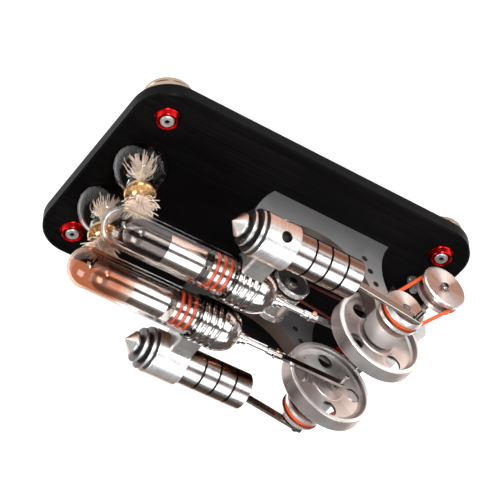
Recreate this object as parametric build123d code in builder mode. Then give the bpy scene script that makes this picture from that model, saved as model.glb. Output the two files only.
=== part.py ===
from build123d import *

import os
from math import acos, atan2, cos, degrees, hypot, pi, radians, sin, sqrt

# Twin hot-air engine on a base plate. +Z is up and +X runs from the lamps to the flywheels.
# The origin is under the middle of the base plate, on the surface that the feet stand on.
# Side "a" is +Y and side "b" is -Y. Lengths are in millimetres and angles in degrees.
SIDES = (("a", 1), ("b", -1))

# Base plate and feet
BASE_LENGTH = 200.0
BASE_WIDTH = 122.0
BASE_THICK = 8.0
BASE_CORNER_R = 20.0
BASE_CHAMFER = 0.9
FOOT_HEIGHT = 10.0
FOOT_R = 13.2
PAD_THICK = 1.4
PAD_R = 10.5
FOOT_X = 83.2
FOOT_Y = 44.8
DECK = FOOT_HEIGHT + BASE_THICK
FOOT_SCREW_R = 2.0
WASHER_HEIGHT = 3.2
WASHER_SEAT = 1.4

# Engine axes
AXIS_Z = 72.5
TUBE_Y = 15.8
POWER_Y = 48.0
CRANK_X = 55.5
LAY_X = 82.3
LAY_Z = 43.0
SHAFT_R = 2.0
RUNNING_GAP = 0.04

# Displacer side
DISPLACER_THROW = 5.0
LINK_LENGTH = 39.5
LINK_THICK = 1.6
LINK_HEIGHT = 3.4
DISPLACER_R = 8.25
DISPLACER_TIP = 107.6
DISPLACER_SPLIT = 86.6
DISPLACER_END = 66.4
ROD_R = 1.5
GLASS_R = 10.5
GLASS_WALL = 1.5
GLASS_TIP_X = -98.6
GLASS_MOUTH_X = -29.6
RIM_R = 11.4
COOLER_FACE_X = -28.0
SPIGOT_END_X = -42.0
SPIGOT_R = 8.6
O_RING_X = (-39.4, -35.7, -32.0)
O_RING_SECTION = 1.0
FIN_GROOVES = (-24.6, -20.9, -17.2)
FIN_R = 12.0
FIN_ROOT_R = 10.0
BELL_START_X = -15.6
BELL_END_X = -3.4
BELL_END_R = 4.6

# Power side
POWER_THROW = 8.0
ROD_LENGTH = 49.5
BAR_THICK = 1.8
BAR_HEIGHT = 4.4
BAR_Y = 48.3
BARREL_R = 9.8
BORE_R = 7.5
BARREL_START_X = -15.3
BARREL_END_X = 22.7
BARREL_GROOVES = (-5.4, 3.4, 12.9)
HEAD_R = 11.75
HEAD_TIP_X = -48.0
PORT_X = -22.75
PORT_R = 1.0
RECESS_X = -23.6

# Cranks: angle of each side's displacer pin; the power pin is a quarter turn on
CRANK_ANGLE = {"a": -27.0, "b": 0.0}
CRANK_PIN_END = {"a": 55.6, "b": 51.2}
FLYWHEEL_R = 24.85
FLYWHEEL_IN = 17.4
FLYWHEEL_OUT = 25.8
RIM_INNER_R = 22.2
WEB_IN = 20.4
WEB_OUT = 21.8
FLYWHEEL_HUB_R = 9.4
HUB_FACE = 19.4
FLYWHEEL_HOLE_R = 4.4
FLYWHEEL_HOLE_PCR = 15.8
FLYWHEEL_HOLE_ANGLE = {"a": -36.0, "b": -2.0}
DISC_FACE = 46.8
BELT_Y = 42.4
BELT_R = 1.0
BELT_GAP = 0.35
GROOVE_HALF = 1.4
CRANK_GROOVE_R = 8.4
LAY_GROOVE_R = 9.6

# Uprights
UPRIGHT_IN = 26.4
UPRIGHT_OUT = 34.4
UPRIGHT_HEAD_R = 9.5
BOSS_IN = 24.4
BEARING_R = 5.5
BEARING_WIDTH = 3.0
SCALLOP_X = 11.0
SCALLOP_Z = 68.5
SCALLOP_R = 35.5
UPRIGHT_HOLES = ((41.2, 35.6), (44.4, 42.9), (47.4, 50.4))

# Gas block between cooler and cylinder head
BLOCK_X0 = -28.4
BLOCK_X1 = -16.0
BLOCK_Z0 = 64.0
BLOCK_Z1 = 78.5

# Layshaft and generator
PEDESTAL_IN = 10.0
PEDESTAL_OUT = 16.0
PEDESTAL_HEAD_R = 11.0
GEN_X = 18.5
GEN_Z = 39.0
GEN_BELT_Y = 1.0
GEN_BELT_R = 0.7
GEN_GROOVE_R = 6.0
GEN_PULLEY_R = 10.0
GEN_CAN_R = 9.6
GEN_CAN_FRONT = -1.2
GEN_CAN_BACK = -19.0
MIDDLE_GROOVE_R = 10.0
MIDDLE_PULLEY_R = 12.4

# Lamps: centre of each lamp on the deck
LAMP_AT = {"a": (-82.2, 20.2), "b": (-82.9, -12.6)}
GLOBE_R = 14.0
GLOBE_WALL = 1.2
NECK_R = 6.8
NECK_TOP = 49.0
WICK_TOP = 61.4

os.makedirs("parts", exist_ok=True)


def save(builder, name):
    """Labels one finished piece and writes it."""
    builder.part.label = name
    export_step(builder.part, f"parts/{name}.step")


def across(y):
    """A plane square to Y at this y, drawn in (x, z), facing -Y."""
    return Plane(origin=(0, y, 0), x_dir=(1, 0, 0), z_dir=(0, -1, 0))


def face_of(plane, points):
    """A closed straight-sided profile on a plane."""
    with BuildSketch(plane) as profile:
        with BuildLine():
            Polyline(*points, close=True)
        make_face()
    return profile.sketch


def turn_x(points, y, z, mode=Mode.ADD):
    """Turns an (x, radius) profile about the line through (y, z) along X."""
    plane = Plane(origin=(0, y, z), x_dir=(1, 0, 0), z_dir=(0, -1, 0))
    revolve(face_of(plane, points), axis=Axis((0, y, z), (1, 0, 0)), mode=mode)


def turn_y(points, x, z, side=1, mode=Mode.ADD):
    """Turns a (distance from the middle, radius) profile about the line through (x, z) along Y."""
    plane = Plane(origin=(x, 0, z), x_dir=(0, 1, 0), z_dir=(1, 0, 0))
    profile = face_of(plane, [(side * along, radius) for along, radius in points])
    revolve(profile, axis=Axis((x, 0, z), (0, 1, 0)), mode=mode)


def turn_z(points, x, y, mode=Mode.ADD):
    """Turns a (radius, z) profile about the vertical line through (x, y)."""
    plane = Plane(origin=(x, y, 0), x_dir=(1, 0, 0), z_dir=(0, -1, 0))
    revolve(face_of(plane, points), axis=Axis((x, y, 0), (0, 0, 1)), mode=mode)


def rod_y(x, z, radius, y0, y1, mode=Mode.ADD):
    """A round bar or hole along Y from y0 to y1."""
    with BuildSketch(across(y0)) as profile:
        with Locations((x, z)):
            Circle(radius)
    extrude(profile.sketch, amount=y0 - y1, mode=mode)


def on_crank(throw, angle):
    """The (x, z) of a pin at this throw and angle."""
    return (
        CRANK_X + throw * cos(radians(angle)),
        AXIS_Z + throw * sin(radians(angle)),
    )


def pulley(points_front, groove, side, x, z):
    """Turns a grooved wheel: its flange outline, then the round-bottomed belt groove."""
    turn_y(points_front, x, z, side)
    turn_y(groove, x, z, side, mode=Mode.SUBTRACT)


def groove_outline(middle, root, rim):
    """The V-sided belt groove, cut from root radius out past the rim."""
    return [
        (middle - GROOVE_HALF, root),
        (middle + GROOVE_HALF, root),
        (middle + GROOVE_HALF + 0.25, rim + 1),
        (middle - GROOVE_HALF - 0.25, rim + 1),
    ]


def belt_loop(y, section, wheel_1, wheel_2):
    """A round belt round two wheels, each given as (x, z, radius of the belt's centre line)."""
    x1, z1, r1 = wheel_1
    x2, z2, r2 = wheel_2
    line_angle = atan2(z2 - z1, x2 - x1)
    spread = acos((r1 - r2) / hypot(x2 - x1, z2 - z1))

    def at(x, z, radius, angle):
        return (x + radius * cos(angle), z + radius * sin(angle))

    start_1 = at(x1, z1, r1, line_angle + spread)
    start_2 = at(x2, z2, r2, line_angle + spread)
    end_1 = at(x1, z1, r1, line_angle - spread)
    end_2 = at(x2, z2, r2, line_angle - spread)
    with BuildLine(across(y)) as path:
        Line(start_1, start_2)
        ThreePointArc(start_2, at(x2, z2, r2, line_angle), end_2)
        Line(end_2, end_1)
        ThreePointArc(end_1, at(x1, z1, r1, line_angle + pi), start_1)
    with BuildSketch(Plane(origin=path.line @ 0, z_dir=path.line % 0)) as end:
        Circle(section)
    sweep(end.sketch, path=path.wires()[0])


# ---------------------------------------------------------------- base plate, feet and their fixings
foot_places = [(sx * FOOT_X, sy * FOOT_Y) for sx in (-1, 1) for sy in (-1, 1)]
upright_screws = [(x, s * (UPRIGHT_IN + UPRIGHT_OUT) / 2) for x in (-4.0, 46.0) for _, s in SIDES]
pedestal_screws = [(LAY_X, s * (PEDESTAL_IN + PEDESTAL_OUT) / 2) for _, s in SIDES]
bracket_screws = [(GEN_X, -9.0)]
frame_screw_places = upright_screws + pedestal_screws + bracket_screws
FRAME_SCREW_R = 1.5
FRAME_HEAD_R = 2.9
FRAME_HEAD_DEPTH = 2.2
SCREW_BITE = 7.0

with BuildPart() as base_plate:
    with BuildSketch(Plane.XY.offset(FOOT_HEIGHT)):
        RectangleRounded(BASE_LENGTH, BASE_WIDTH, BASE_CORNER_R)
    extrude(amount=BASE_THICK)
    chamfer(base_plate.faces().sort_by(Axis.Z)[-1].edges(), BASE_CHAMFER)
    chamfer(base_plate.faces().sort_by(Axis.Z)[0].edges(), BASE_CHAMFER / 2)
    with Locations(*[(x, y, DECK) for x, y in foot_places]):
        Hole(FOOT_SCREW_R + 0.2)
    with Locations(*[(x, y, DECK) for x, y in frame_screw_places]):
        Hole(FRAME_SCREW_R + 0.1)
    with BuildSketch(Plane.XY.offset(FOOT_HEIGHT)):
        with Locations(*frame_screw_places):
            Circle(FRAME_HEAD_R + 0.15)
    extrude(amount=FRAME_HEAD_DEPTH + 0.3, mode=Mode.SUBTRACT)
save(base_plate, "base_plate")

with BuildPart() as feet:
    for x, y in foot_places:
        foot_outline = [
            (FOOT_SCREW_R, PAD_THICK),
            (FOOT_R - 1.8, PAD_THICK),
            (FOOT_R - 0.6, PAD_THICK + 1.0),
            (FOOT_R - 0.6, 4.2),
            (FOOT_R - 1.1, 4.6),
            (FOOT_R - 1.1, 5.2),
            (FOOT_R, 5.8),
            (FOOT_R, FOOT_HEIGHT - 1.2),
            (FOOT_R - 1.0, FOOT_HEIGHT),
            (FOOT_SCREW_R, FOOT_HEIGHT),
        ]
        turn_z(foot_outline, x, y)
save(feet, "feet")

with BuildPart() as foot_pads:
    for x, y in foot_places:
        turn_z(
            [(0, 0), (PAD_R - 0.4, 0), (PAD_R, 0.4), (PAD_R, PAD_THICK), (0, PAD_THICK)],
            x,
            y,
        )
save(foot_pads, "foot_pads")

with BuildPart() as foot_washers:
    for x, y in foot_places:
        washer_outline = [
            (FOOT_SCREW_R + 0.2, DECK),
            (6.5, DECK),
            (6.5, DECK + 0.5),
            (6.2, DECK + 0.9),
            (5.2, DECK + WASHER_HEIGHT - 0.2),
            (5.0, DECK + WASHER_HEIGHT),
            (4.7, DECK + WASHER_HEIGHT),
            (3.7, DECK + WASHER_SEAT),
            (FOOT_SCREW_R + 0.2, DECK + WASHER_SEAT),
        ]
        turn_z(washer_outline, x, y)
save(foot_washers, "foot_washers")

with BuildPart() as foot_screws:
    for x, y in foot_places:
        screw_outline = [
            (0, PAD_THICK + 1),
            (FOOT_SCREW_R, PAD_THICK + 1),
            (FOOT_SCREW_R, DECK + WASHER_SEAT),
            (3.4, DECK + WASHER_SEAT),
            (3.4, DECK + WASHER_HEIGHT - 0.4),
            (3.0, DECK + WASHER_HEIGHT),
            (0, DECK + WASHER_HEIGHT),
        ]
        turn_z(screw_outline, x, y)
    with BuildSketch(Plane.XY.offset(DECK + WASHER_HEIGHT)):
        with Locations(*foot_places):
            RegularPolygon(1.45, 6)
    extrude(amount=-2.0, mode=Mode.SUBTRACT)
save(foot_screws, "foot_screws")

with BuildPart() as frame_screws:
    for x, y in frame_screw_places:
        countersunk = [
            (0, FOOT_HEIGHT + 0.2),
            (FRAME_HEAD_R, FOOT_HEIGHT + 0.2),
            (FRAME_HEAD_R, FOOT_HEIGHT + FRAME_HEAD_DEPTH),
            (FRAME_SCREW_R, FOOT_HEIGHT + FRAME_HEAD_DEPTH),
            (FRAME_SCREW_R, DECK + SCREW_BITE),
            (0, DECK + SCREW_BITE),
        ]
        turn_z(countersunk, x, y)
save(frame_screws, "frame_screws")

# ---------------------------------------------------------------- alcohol lamps
GLOBE_Z = DECK + 12.6
FLOOR_Z = DECK + 1.8
globe_inner_r = GLOBE_R - GLOBE_WALL
neck_inner_r = NECK_R - GLOBE_WALL


def leg(ball, other):
    """The second leg of a right triangle whose long side is the ball's radius."""
    return sqrt(ball**2 - other**2)


globe_foot_r = leg(GLOBE_R, GLOBE_Z - DECK)
floor_r = leg(globe_inner_r, GLOBE_Z - FLOOR_Z)
shoulder = (NECK_R, GLOBE_Z + leg(GLOBE_R, NECK_R))
inner_shoulder = (neck_inner_r, GLOBE_Z + leg(globe_inner_r, neck_inner_r))

for side, s in SIDES:
    lamp_x, lamp_y = LAMP_AT[side]
    lamp_plane = Plane(origin=(lamp_x, lamp_y, 0), x_dir=(1, 0, 0), z_dir=(0, -1, 0))
    with BuildPart() as lamp_glass:
        with BuildSketch(lamp_plane):
            with BuildLine():
                Polyline((0, FLOOR_Z), (0, DECK), (globe_foot_r, DECK))
                ThreePointArc((globe_foot_r, DECK), (GLOBE_R, GLOBE_Z), shoulder)
                Polyline(
                    shoulder,
                    (NECK_R, NECK_TOP - 1.4),
                    (NECK_R + 0.5, NECK_TOP - 1.0),
                    (NECK_R + 0.5, NECK_TOP),
                    (neck_inner_r, NECK_TOP),
                    inner_shoulder,
                )
                ThreePointArc(inner_shoulder, (globe_inner_r, GLOBE_Z), (floor_r, FLOOR_Z))
                Line((floor_r, FLOOR_Z), (0, FLOOR_Z))
            make_face()
        revolve(axis=Axis((lamp_x, lamp_y, 0), (0, 0, 1)))
    save(lamp_glass, f"lamp_glass_{side}")

    with BuildPart() as lamp_wick:
        wick_outline = [
            (0, 27.5),
            (4.6, 29.5),
            (4.9, 33.0),
            (3.2, 39.0),
            (2.4, 43.0),
            (2.4, NECK_TOP + 3.4),
            (4.4, NECK_TOP + 5.0),
            (6.6, WICK_TOP - 4.0),
            (6.0, WICK_TOP - 1.0),
            (3.0, WICK_TOP),
            (0, WICK_TOP),
        ]
        turn_z(wick_outline, lamp_x, lamp_y)
    save(lamp_wick, f"lamp_wick_{side}")

with BuildPart() as lamp_collars:
    for side, s in SIDES:
        collar_outline = [
            (2.5, NECK_TOP - 4.2),
            (3.4, NECK_TOP - 4.6),
            (neck_inner_r - 0.1, NECK_TOP - 3.4),
            (neck_inner_r - 0.1, NECK_TOP),
            (7.5, NECK_TOP),
            (7.8, NECK_TOP + 0.8),
            (7.2, NECK_TOP + 1.7),
            (4.6, NECK_TOP + 2.5),
            (3.6, NECK_TOP + 3.3),
            (2.5, NECK_TOP + 3.3),
        ]
        turn_z(collar_outline, *LAMP_AT[side])
save(lamp_collars, "lamp_collars")

# ---------------------------------------------------------------- uprights and crank bearings
BEARING_SPANS = (
    (BOSS_IN + 0.2, BOSS_IN + 0.2 + BEARING_WIDTH),
    (UPRIGHT_OUT - 0.2 - BEARING_WIDTH, UPRIGHT_OUT - 0.2),
)

for side, s in SIDES:
    with BuildPart() as upright:
        with BuildSketch(across(s * UPRIGHT_OUT)):
            with BuildLine():
                toe = (57.5, DECK)
                waist = (55.6, 54.0)
                head_front = on_crank(UPRIGHT_HEAD_R, -22)
                head_back = on_crank(UPRIGHT_HEAD_R, 185)
                scallop_end = (-22.4, 58.2)
                horn_top = (BLOCK_X0, BLOCK_Z0)
                heel = (-13.0, DECK)
                ThreePointArc(toe, (51.9, 36.0), waist)
                ThreePointArc(waist, (59.4, 62.0), head_front)
                ThreePointArc(head_front, on_crank(UPRIGHT_HEAD_R, 80), head_back)
                ThreePointArc(head_back, (SCALLOP_X, SCALLOP_Z - SCALLOP_R), scallop_end)
                ThreePointArc(scallop_end, (-20.6, 62.2), (BLOCK_X1 - 1.0, BLOCK_Z0))
                Line((BLOCK_X1 - 1.0, BLOCK_Z0), horn_top)
                ThreePointArc(horn_top, (-24.4, 37.0), heel)
                Line(heel, toe)
            make_face()
        extrude(amount=s * (UPRIGHT_OUT - UPRIGHT_IN))
        rod_y(CRANK_X, AXIS_Z, UPRIGHT_HEAD_R, s * UPRIGHT_IN, s * BOSS_IN)
        rod_y(CRANK_X, AXIS_Z, BEARING_R - 1, s * BOSS_IN, s * UPRIGHT_OUT, Mode.SUBTRACT)
        for y0, y1 in BEARING_SPANS:
            mouth_0 = BOSS_IN if y0 < UPRIGHT_IN else y0
            mouth_1 = UPRIGHT_OUT if y0 > UPRIGHT_IN else y1
            rod_y(CRANK_X, AXIS_Z, BEARING_R, s * mouth_0, s * mouth_1, Mode.SUBTRACT)
        for x, z in UPRIGHT_HOLES:
            rod_y(x, z, 1.7, s * UPRIGHT_IN, s * UPRIGHT_OUT, Mode.SUBTRACT)
        with BuildSketch(Plane.XY.offset(DECK)):
            with Locations(*[(x, y) for x, y in upright_screws if y * s > 0]):
                Circle(FRAME_SCREW_R)
        extrude(amount=SCREW_BITE, mode=Mode.SUBTRACT)
    save(upright, f"upright_{side}")

with BuildPart() as crank_bearings:
    for side, s in SIDES:
        for y0, y1 in BEARING_SPANS:
            race = [
                (y0, SHAFT_R + RUNNING_GAP),
                (y0, 3.1),
                (y0 + 0.3, 3.3),
                (y0 + 0.3, 4.5),
                (y0, 4.7),
                (y0, BEARING_R),
                (y1, BEARING_R),
                (y1, 4.7),
                (y1 - 0.3, 4.5),
                (y1 - 0.3, 3.3),
                (y1, 3.1),
                (y1, SHAFT_R + RUNNING_GAP),
            ]
            turn_y(race, CRANK_X, AXIS_Z, s)
save(crank_bearings, "crank_bearings")

# ---------------------------------------------------------------- hot tubes, coolers and gas blocks
dome_x = GLASS_TIP_X + GLASS_R
glass_inner_r = GLASS_R - GLASS_WALL
BELL_STEPS = 12
half = sqrt(0.5)

for side, s in SIDES:
    tube_plane = Plane(origin=(0, s * TUBE_Y, AXIS_Z), x_dir=(1, 0, 0), z_dir=(0, -1, 0))
    tube_axis = Axis((0, s * TUBE_Y, AXIS_Z), (1, 0, 0))
    with BuildPart() as hot_cap:
        with BuildSketch(tube_plane):
            with BuildLine():
                inner_tip = (GLASS_TIP_X + GLASS_WALL, 0)
                ThreePointArc(
                    (GLASS_TIP_X, 0),
                    (dome_x - GLASS_R * half, GLASS_R * half),
                    (dome_x, GLASS_R),
                )
                Polyline(
                    (dome_x, GLASS_R),
                    (GLASS_MOUTH_X - 1.0, GLASS_R),
                    (GLASS_MOUTH_X, RIM_R),
                    (COOLER_FACE_X, RIM_R),
                    (COOLER_FACE_X, glass_inner_r),
                    (dome_x, glass_inner_r),
                )
                ThreePointArc(
                    (dome_x, glass_inner_r),
                    (dome_x - glass_inner_r * half, glass_inner_r * half),
                    inner_tip,
                )
                Line(inner_tip, (GLASS_TIP_X, 0))
            make_face()
        revolve(axis=tube_axis)
    save(hot_cap, f"hot_cap_{side}")

    with BuildPart() as cooler:
        outline = [(SPIGOT_END_X, 3.0), (SPIGOT_END_X, SPIGOT_R)]
        for x in O_RING_X:
            outline += [
                (x - 1.1, SPIGOT_R),
                (x - 1.1, glass_inner_r - 2 * O_RING_SECTION),
                (x + 1.1, glass_inner_r - 2 * O_RING_SECTION),
                (x + 1.1, SPIGOT_R),
            ]
        outline += [(COOLER_FACE_X, SPIGOT_R), (COOLER_FACE_X, 11.4), (-27.0, 11.4)]
        outline += [(-27.0, 10.8), (-26.5, 10.8), (-26.5, FIN_R - 0.3), (-26.2, FIN_R)]
        for x in FIN_GROOVES:
            outline += [
                (x - 1.1, FIN_R),
                (x - 0.8, FIN_R - 0.3),
                (x - 0.6, FIN_ROOT_R),
                (x + 0.6, FIN_ROOT_R),
                (x + 0.8, FIN_R - 0.3),
                (x + 1.1, FIN_R),
            ]
        bell_length = BELL_END_X - BELL_START_X
        bell_rise = FIN_R - BELL_END_R
        for i in range(BELL_STEPS + 1):
            turn = i * pi / 2 / BELL_STEPS
            outline += [
                (BELL_START_X + bell_length * sin(turn), BELL_END_R + bell_rise * cos(turn)),
            ]
        outline += [
            (BELL_END_X, 3.9),
            (BELL_END_X + 0.4, 3.7),
            (-0.6, 3.7),
            (-0.3, 3.3),
            (-0.3, 2.7),
            (2.4, 2.7),
            (2.7, 2.4),
            (2.7, ROD_R + RUNNING_GAP),
            (-5.0, ROD_R + RUNNING_GAP),
            (-5.0, 3.0),
        ]
        turn_x(outline, s * TUBE_Y, AXIS_Z)
        rod_y(PORT_X, AXIS_Z, PORT_R, s * TUBE_Y, s * (TUBE_Y + FIN_R + 1), Mode.SUBTRACT)
    save(cooler, f"cooler_{side}")

with BuildPart() as o_rings:
    for side, s in SIDES:
        for x in O_RING_X:
            with Locations(Location((x, s * TUBE_Y, AXIS_Z), (0, 90, 0))):
                Torus(glass_inner_r - O_RING_SECTION, O_RING_SECTION)
save(o_rings, "o_rings")

with BuildPart() as transfer_blocks:
    for side, s in SIDES:
        with BuildSketch(across(s * (TUBE_Y + 4))):
            with Locations(((BLOCK_X0 + BLOCK_X1) / 2, (BLOCK_Z0 + BLOCK_Z1) / 2)):
                Rectangle(BLOCK_X1 - BLOCK_X0, BLOCK_Z1 - BLOCK_Z0)
        extrude(amount=-s * (POWER_Y - TUBE_Y - 8))
    chamfer(transfer_blocks.edges().filter_by(Axis.Y).group_by(Axis.Z)[-1], 1.0)
    for side, s in SIDES:
        turn_x([(-60, 0), (-60, FIN_R), (10, FIN_R), (10, 0)], s * TUBE_Y, AXIS_Z, Mode.SUBTRACT)
        turn_x([(-60, 0), (-60, HEAD_R), (10, HEAD_R), (10, 0)], s * POWER_Y, AXIS_Z, Mode.SUBTRACT)
    rod_y(PORT_X, AXIS_Z, PORT_R, -POWER_Y, POWER_Y, Mode.SUBTRACT)
save(transfer_blocks, "transfer_blocks")

# ---------------------------------------------------------------- power cylinders
for side, s in SIDES:
    with BuildPart() as cylinder_head:
        head_outline = [
            (HEAD_TIP_X, 0),
            (-43.4, 6.1),
            (-42.6, 6.1),
            (-42.4, 4.4),
            (-41.2, 4.4),
            (-40.4, 9.1),
            (-39.4, 9.3),
            (-39.2, 7.3),
            (-37.8, 7.3),
            (-36.8, 11.2),
            (-35.7, 11.4),
            (-35.5, 9.5),
            (-34.4, 9.5),
            (-33.6, HEAD_R - 0.2),
            (-33.2, HEAD_R),
            (BARREL_START_X - 0.5, HEAD_R),
            (BARREL_START_X, HEAD_R - 0.5),
            (BARREL_START_X, 5.0),
            (-26.0, 5.0),
            (-28.0, 0),
        ]
        turn_x(head_outline, s * POWER_Y, AXIS_Z)
        for angle in (30, -30):
            out = Vector(0, s * cos(radians(angle)), sin(radians(angle)))
            middle = Vector(RECESS_X, s * POWER_Y, AXIS_Z)
            with BuildSketch(Plane(origin=middle + out * (HEAD_R - 3.6), z_dir=out)):
                Circle(2.9)
            extrude(amount=6, mode=Mode.SUBTRACT)
        rod_y(PORT_X, AXIS_Z, PORT_R, s * (POWER_Y - HEAD_R - 1), s * POWER_Y, Mode.SUBTRACT)
    save(cylinder_head, f"cylinder_head_{side}")

    with BuildPart() as barrel:
        outline = [(BARREL_START_X, BORE_R), (BARREL_START_X, BARREL_R)]
        for x in BARREL_GROOVES:
            outline += [
                (x - 0.6, BARREL_R),
                (x - 0.45, BARREL_R - 0.8),
                (x + 0.45, BARREL_R - 0.8),
                (x + 0.6, BARREL_R),
            ]
        outline += [
            (BARREL_END_X - 0.6, BARREL_R),
            (BARREL_END_X, BARREL_R - 0.6),
            (BARREL_END_X, BORE_R + 0.4),
            (BARREL_END_X - 0.4, BORE_R),
        ]
        turn_x(outline, s * POWER_Y, AXIS_Z)
    save(barrel, f"barrel_{side}")

# ---------------------------------------------------------------- pistons and power connecting rods
WRIST_R = 1.25
SMALL_END_R = 2.5
PISTON_FIT = 0.05

for side, s in SIDES:
    pin_x, pin_z = on_crank(POWER_THROW, CRANK_ANGLE[side] + 90)
    wrist_x = pin_x - sqrt(ROD_LENGTH**2 - (pin_z - AXIS_Z) ** 2)

    with BuildPart() as piston:
        piston_r = BORE_R - PISTON_FIT
        piston_outline = [
            (wrist_x - 9.0, 0),
            (wrist_x - 9.0, piston_r - 0.4),
            (wrist_x - 8.6, piston_r),
            (wrist_x + 4.6, piston_r),
            (wrist_x + 5.0, piston_r - 0.4),
            (wrist_x + 5.0, 5.9),
            (wrist_x - 4.0, 5.9),
            (wrist_x - 5.0, 4.9),
            (wrist_x - 5.0, 0),
        ]
        turn_x(piston_outline, s * POWER_Y, AXIS_Z)
        rod_y(wrist_x, AXIS_Z, WRIST_R, s * (POWER_Y - 9), s * (POWER_Y + 9), Mode.SUBTRACT)
    save(piston, f"piston_{side}")

    with BuildPart() as wrist_pin:
        rod_y(wrist_x, AXIS_Z, WRIST_R, s * (POWER_Y - 6.8), s * (POWER_Y + 6.8))
        for reach in (BAR_Y - BAR_THICK / 2 - 1.6, BAR_Y + BAR_THICK / 2 + 0.3):
            rod_y(wrist_x, AXIS_Z, 2.2, s * reach, s * (reach + 1.3))
    save(wrist_pin, f"wrist_pin_{side}")

    bar_plane = Plane(
        origin=(wrist_x, s * (BAR_Y + BAR_THICK / 2), AXIS_Z),
        x_dir=(pin_x - wrist_x, 0, pin_z - AXIS_Z),
        z_dir=(0, -1, 0),
    )
    with BuildPart() as con_rod:
        with BuildSketch(bar_plane):
            with Locations((ROD_LENGTH / 2, 0)):
                Rectangle(ROD_LENGTH, BAR_HEIGHT)
            Circle(SMALL_END_R)
            with Locations((ROD_LENGTH, 0)):
                RectangleRounded(6.4, BAR_HEIGHT, 1.0)
            Circle(WRIST_R + RUNNING_GAP, mode=Mode.SUBTRACT)
            with Locations((ROD_LENGTH, 0)):
                Circle(1.3, mode=Mode.SUBTRACT)
        extrude(amount=s * BAR_THICK)
        outer_edges = con_rod.faces().sort_by(Axis.Y)[-1 if s > 0 else 0].outer_wire().edges()
        chamfer(outer_edges, 0.25)
    save(con_rod, f"con_rod_{side}")

    with BuildPart() as crank_pin:
        pin_outline = [
            (BAR_Y - BAR_THICK / 2, 0),
            (BAR_Y - BAR_THICK / 2, 1.3),
            (BAR_Y + BAR_THICK / 2, 1.3),
            (BAR_Y + BAR_THICK / 2, 1.9),
            (BAR_Y + BAR_THICK / 2 + 0.7, 1.9),
            (BAR_Y + BAR_THICK / 2 + 0.7, 1.3),
            (CRANK_PIN_END[side] - 0.4, 1.3),
            (CRANK_PIN_END[side], 0.9),
            (CRANK_PIN_END[side], 0),
        ]
        turn_y(pin_outline, pin_x, pin_z, s)
    save(crank_pin, f"crank_pin_{side}")

# ---------------------------------------------------------------- displacers, rods and links
EAR_R = 2.1
CLEVIS_REACH = 3.0
LINK_PIN_R = 1.0
LINK_TIP = 9.4
split_overlap = 4.0

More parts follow.
